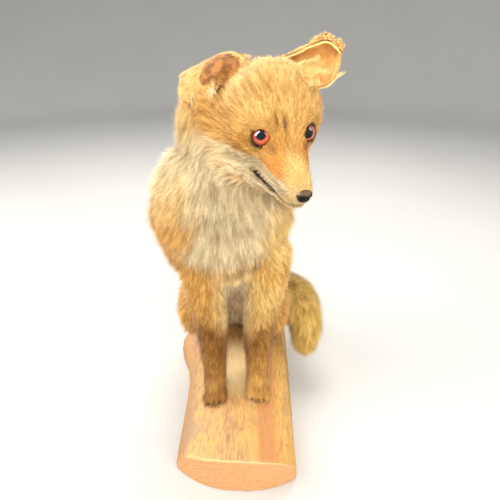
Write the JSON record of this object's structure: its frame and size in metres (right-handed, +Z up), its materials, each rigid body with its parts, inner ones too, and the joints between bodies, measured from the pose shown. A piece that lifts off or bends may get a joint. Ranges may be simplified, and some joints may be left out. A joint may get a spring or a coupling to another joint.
{
  "type": "taxidermy fox",
  "caption": "Mounted young fox sitting upright on a split log, head turned aside, one ear folded down and the brush curled round one haunch.",
  "frame": {"origin": "middle of the log's flat underside, on the surface that it stands on", "axes": "+Z up, -Y the way the fox's chest faces, +X towards the fox's left side"},
  "size_m": [0.2099, 0.3299, 0.4411],
  "materials": {
    "wood": "bare debarked softwood, dry and faintly fibrous",
    "coat": "golden tan fur, faded, cream on throat and chest",
    "pale_coat": "short cream fur",
    "sock": "short brown fur over paler tan toes",
    "brush": "long soft khaki yellow fur",
    "dried_skin": "thin dried ear skin, torn at the rim",
    "nose": "dark dried nose pad with a dull sheen",
    "eye": "polished glass eye, coral iris with a black pupil"
  },
  "bodies": {
    "root": {"log_base": "wood", "trunk": "coat", "neck": "coat", "head": "coat", "lower_jaw": "pale_coat", "nose": "nose", "eye_left": "eye", "eye_right": "eye", "ear_left": "dried_skin", "ear_right": "dried_skin", "foreleg_left": "sock", "foreleg_right": "sock", "hindleg_left": "coat", "hindleg_right": "coat", "tail": "brush"}
  },
  "joints": []
}
